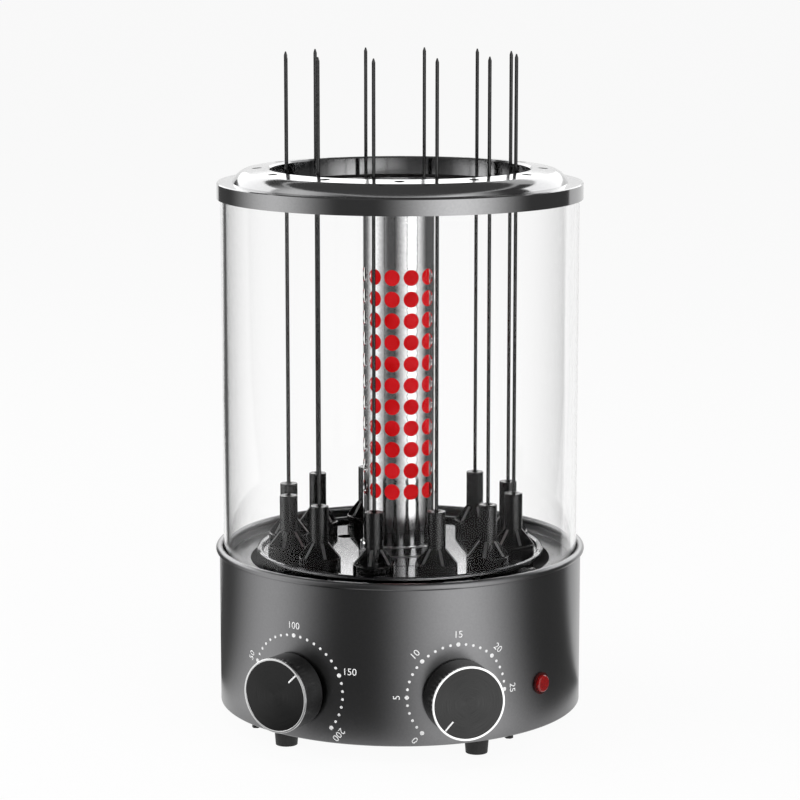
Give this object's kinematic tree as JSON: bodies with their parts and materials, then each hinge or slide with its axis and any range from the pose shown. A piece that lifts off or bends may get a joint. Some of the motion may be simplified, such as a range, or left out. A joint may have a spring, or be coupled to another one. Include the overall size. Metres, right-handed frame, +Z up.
{
  "type": "electric skewer grill",
  "caption": "Upright electric grill with a round base, central perforated heater, turntable of vertical skewers, glass cylinder and open lid.",
  "frame": {"origin": "on the floor under the axis of the round base", "axes": "+Z up along the heater's axis, the two knobs look along -Y"},
  "size_m": [0.2562, 0.286, 0.4608],
  "materials": {
    "body_metal": "satin, gunmetal",
    "lid_metal": "satin, gunmetal",
    "plated_steel": "plated",
    "turntable_steel": "polished",
    "guard_steel": "polished",
    "rubber": "matte",
    "gear_alloy": "die cast",
    "pinion_brass": "machined",
    "motor_can": "zinc plated",
    "switch_plastic": "moulded",
    "ceramic": null,
    "quartz_glow": "ruby quartz, lit",
    "lamp_plastic": "gloss",
    "lamp_red": "gloss",
    "gland_plastic": "moulded",
    "terminal_plastic": "moulded",
    "clear_glass": "clear",
    "knob_black": "satin",
    "knob_chrome": "polished",
    "holder_plastic": "gloss",
    "skewer_steel": "polished"
  },
  "bodies": {
    "base": {"base_housing": "body_metal", "bottom_plate": "plated_steel", "rubber_feet": "rubber", "centre_post": "plated_steel", "well_pan": "body_metal", "sun_gear": "gear_alloy", "motor_body": "motor_can", "heater_guard": "guard_steel", "guard_collar": "guard_steel", "guard_cap": "guard_steel", "heater_foot": "ceramic", "quartz_tube": "quartz_glow", "heater_core": "ceramic", "timer_body": "switch_plastic", "thermostat_body": "switch_plastic", "panel_nuts": "plated_steel", "lamp_body": "lamp_plastic", "lamp_lens": "lamp_red", "cord_gland": "gland_plastic", "terminal_block": "terminal_plastic", "base_screws": "plated_steel"},
    "turntable": {"turntable_pan": "turntable_steel", "turntable_hub": "plated_steel", "drive_gear": "gear_alloy"},
    "pinion": {"motor_pinion": "pinion_brass"},
    "glass": {"glass_cylinder": "clear_glass"},
    "lid": {"lid_shell": "lid_metal", "lid_seal": "rubber"},
    "thermostat_control": {"thermostat_knob": "knob_black", "thermostat_knob_ring": "knob_chrome", "thermostat_shaft": "plated_steel"},
    "timer_control": {"timer_knob": "knob_black", "timer_knob_ring": "knob_chrome", "timer_shaft": "plated_steel"},
    "holder_01": {"skewer_holder_01": "holder_plastic"},
    "rod_01": {"skewer_01": "skewer_steel"},
    "holder_02": {"skewer_holder_02": "holder_plastic"},
    "rod_02": {"skewer_02": "skewer_steel"},
    "holder_03": {"skewer_holder_03": "holder_plastic"},
    "rod_03": {"skewer_03": "skewer_steel"},
    "holder_04": {"skewer_holder_04": "holder_plastic"},
    "rod_04": {"skewer_04": "skewer_steel"},
    "holder_05": {"skewer_holder_05": "holder_plastic"},
    "rod_05": {"skewer_05": "skewer_steel"},
    "holder_06": {"skewer_holder_06": "holder_plastic"},
    "rod_06": {"skewer_06": "skewer_steel"},
    "holder_07": {"skewer_holder_07": "holder_plastic"},
    "rod_07": {"skewer_07": "skewer_steel"},
    "holder_08": {"skewer_holder_08": "holder_plastic"},
    "rod_08": {"skewer_08": "skewer_steel"},
    "holder_09": {"skewer_holder_09": "holder_plastic"},
    "rod_09": {"skewer_09": "skewer_steel"},
    "holder_10": {"skewer_holder_10": "holder_plastic"},
    "rod_10": {"skewer_10": "skewer_steel"},
    "holder_11": {"skewer_holder_11": "holder_plastic"},
    "rod_11": {"skewer_11": "skewer_steel"},
    "holder_12": {"skewer_holder_12": "holder_plastic"},
    "rod_12": {"skewer_12": "skewer_steel"}
  },
  "joints": [
    {"name": "turntable_spin", "type": "hinge", "parent": "base", "child": "turntable", "pos_m": [0, 0, 0.117], "axis": [0, 0, 1], "continuous": true},
    {"name": "pinion_spin", "type": "hinge", "parent": "base", "child": "pinion", "pos_m": [0.0225, 0.03897, 0.08], "axis": [0, 0, 1], "continuous": true},
    {"name": "holder_01_spin", "type": "hinge", "parent": "turntable", "child": "holder_01", "pos_m": [-0.00586, -0.07978, 0.117], "axis": [0, 0, 1], "continuous": true},
    {"name": "holder_02_spin", "type": "hinge", "parent": "turntable", "child": "holder_02", "pos_m": [0.03482, -0.07203, 0.117], "axis": [0, 0, 1], "continuous": true},
    {"name": "holder_03_spin", "type": "hinge", "parent": "turntable", "child": "holder_03", "pos_m": [0.06617, -0.04497, 0.117], "axis": [0, 0, 1], "continuous": true},
    {"name": "holder_04_spin", "type": "hinge", "parent": "turntable", "child": "holder_04", "pos_m": [0.07978, -0.00586, 0.117], "axis": [0, 0, 1], "continuous": true},
    {"name": "holder_05_spin", "type": "hinge", "parent": "turntable", "child": "holder_05", "pos_m": [0.07203, 0.03482, 0.117], "axis": [0, 0, 1], "continuous": true},
    {"name": "holder_06_spin", "type": "hinge", "parent": "turntable", "child": "holder_06", "pos_m": [0.04497, 0.06617, 0.117], "axis": [0, 0, 1], "continuous": true},
    {"name": "holder_07_spin", "type": "hinge", "parent": "turntable", "child": "holder_07", "pos_m": [0.00586, 0.07978, 0.117], "axis": [0, 0, 1], "continuous": true},
    {"name": "holder_08_spin", "type": "hinge", "parent": "turntable", "child": "holder_08", "pos_m": [-0.03482, 0.07203, 0.117], "axis": [0, 0, 1], "continuous": true},
    {"name": "holder_09_spin", "type": "hinge", "parent": "turntable", "child": "holder_09", "pos_m": [-0.06617, 0.04497, 0.117], "axis": [0, 0, 1], "continuous": true},
    {"name": "holder_10_spin", "type": "hinge", "parent": "turntable", "child": "holder_10", "pos_m": [-0.07978, 0.00586, 0.117], "axis": [0, 0, 1], "continuous": true},
    {"name": "holder_11_spin", "type": "hinge", "parent": "turntable", "child": "holder_11", "pos_m": [-0.07203, -0.03482, 0.117], "axis": [0, 0, 1], "continuous": true},
    {"name": "holder_12_spin", "type": "hinge", "parent": "turntable", "child": "holder_12", "pos_m": [-0.04497, -0.06617, 0.117], "axis": [0, 0, 1], "continuous": true},
    {"name": "skewer_01_lift", "type": "slide", "parent": "holder_01", "child": "rod_01", "axis": [0, 0, 1], "range_m": [0, 0.34]},
    {"name": "skewer_02_lift", "type": "slide", "parent": "holder_02", "child": "rod_02", "axis": [0, 0, 1], "range_m": [0, 0.34]},
    {"name": "skewer_03_lift", "type": "slide", "parent": "holder_03", "child": "rod_03", "axis": [0, 0, 1], "range_m": [0, 0.34]},
    {"name": "skewer_04_lift", "type": "slide", "parent": "holder_04", "child": "rod_04", "axis": [0, 0, 1], "range_m": [0, 0.34]},
    {"name": "skewer_05_lift", "type": "slide", "parent": "holder_05", "child": "rod_05", "axis": [0, 0, 1], "range_m": [0, 0.34]},
    {"name": "skewer_06_lift", "type": "slide", "parent": "holder_06", "child": "rod_06", "axis": [0, 0, 1], "range_m": [0, 0.34]},
    {"name": "skewer_07_lift", "type": "slide", "parent": "holder_07", "child": "rod_07", "axis": [0, 0, 1], "range_m": [0, 0.34]},
    {"name": "skewer_08_lift", "type": "slide", "parent": "holder_08", "child": "rod_08", "axis": [0, 0, 1], "range_m": [0, 0.34]},
    {"name": "skewer_09_lift", "type": "slide", "parent": "holder_09", "child": "rod_09", "axis": [0, 0, 1], "range_m": [0, 0.34]},
    {"name": "skewer_10_lift", "type": "slide", "parent": "holder_10", "child": "rod_10", "axis": [0, 0, 1], "range_m": [0, 0.34]},
    {"name": "skewer_11_lift", "type": "slide", "parent": "holder_11", "child": "rod_11", "axis": [0, 0, 1], "range_m": [0, 0.34]},
    {"name": "skewer_12_lift", "type": "slide", "parent": "holder_12", "child": "rod_12", "axis": [0, 0, 1], "range_m": [0, 0.34]},
    {"name": "glass_lift", "type": "slide", "parent": "base", "child": "glass", "axis": [0, 0, 1], "range_m": [0, 0.38]},
    {"name": "lid_lift", "type": "slide", "parent": "glass", "child": "lid", "axis": [0, 0, 1], "range_m": [0, 0.12]},
    {"name": "thermostat_turn", "type": "hinge", "parent": "base", "child": "thermostat_control", "pos_m": [-0.05581, -0.11442, 0.0455], "axis": [-0.4384, -0.8988, 0], "range_deg": [-84, 174]},
    {"name": "timer_turn", "type": "hinge", "parent": "base", "child": "timer_control", "pos_m": [0.05581, -0.11442, 0.0455], "axis": [0.4384, -0.8988, 0], "range_deg": [-270, 0]}
  ],
  "couplings": [
    {"joint": "pinion_spin", "follows": "turntable_spin", "ratio": -4},
    {"joint": "holder_01_spin", "follows": "turntable_spin", "ratio": 4},
    {"joint": "holder_02_spin", "follows": "turntable_spin", "ratio": 4},
    {"joint": "holder_03_spin", "follows": "turntable_spin", "ratio": 4},
    {"joint": "holder_04_spin", "follows": "turntable_spin", "ratio": 4},
    {"joint": "holder_05_spin", "follows": "turntable_spin", "ratio": 4},
    {"joint": "holder_06_spin", "follows": "turntable_spin", "ratio": 4},
    {"joint": "holder_07_spin", "follows": "turntable_spin", "ratio": 4},
    {"joint": "holder_08_spin", "follows": "turntable_spin", "ratio": 4},
    {"joint": "holder_09_spin", "follows": "turntable_spin", "ratio": 4},
    {"joint": "holder_10_spin", "follows": "turntable_spin", "ratio": 4},
    {"joint": "holder_11_spin", "follows": "turntable_spin", "ratio": 4},
    {"joint": "holder_12_spin", "follows": "turntable_spin", "ratio": 4}
  ]
}
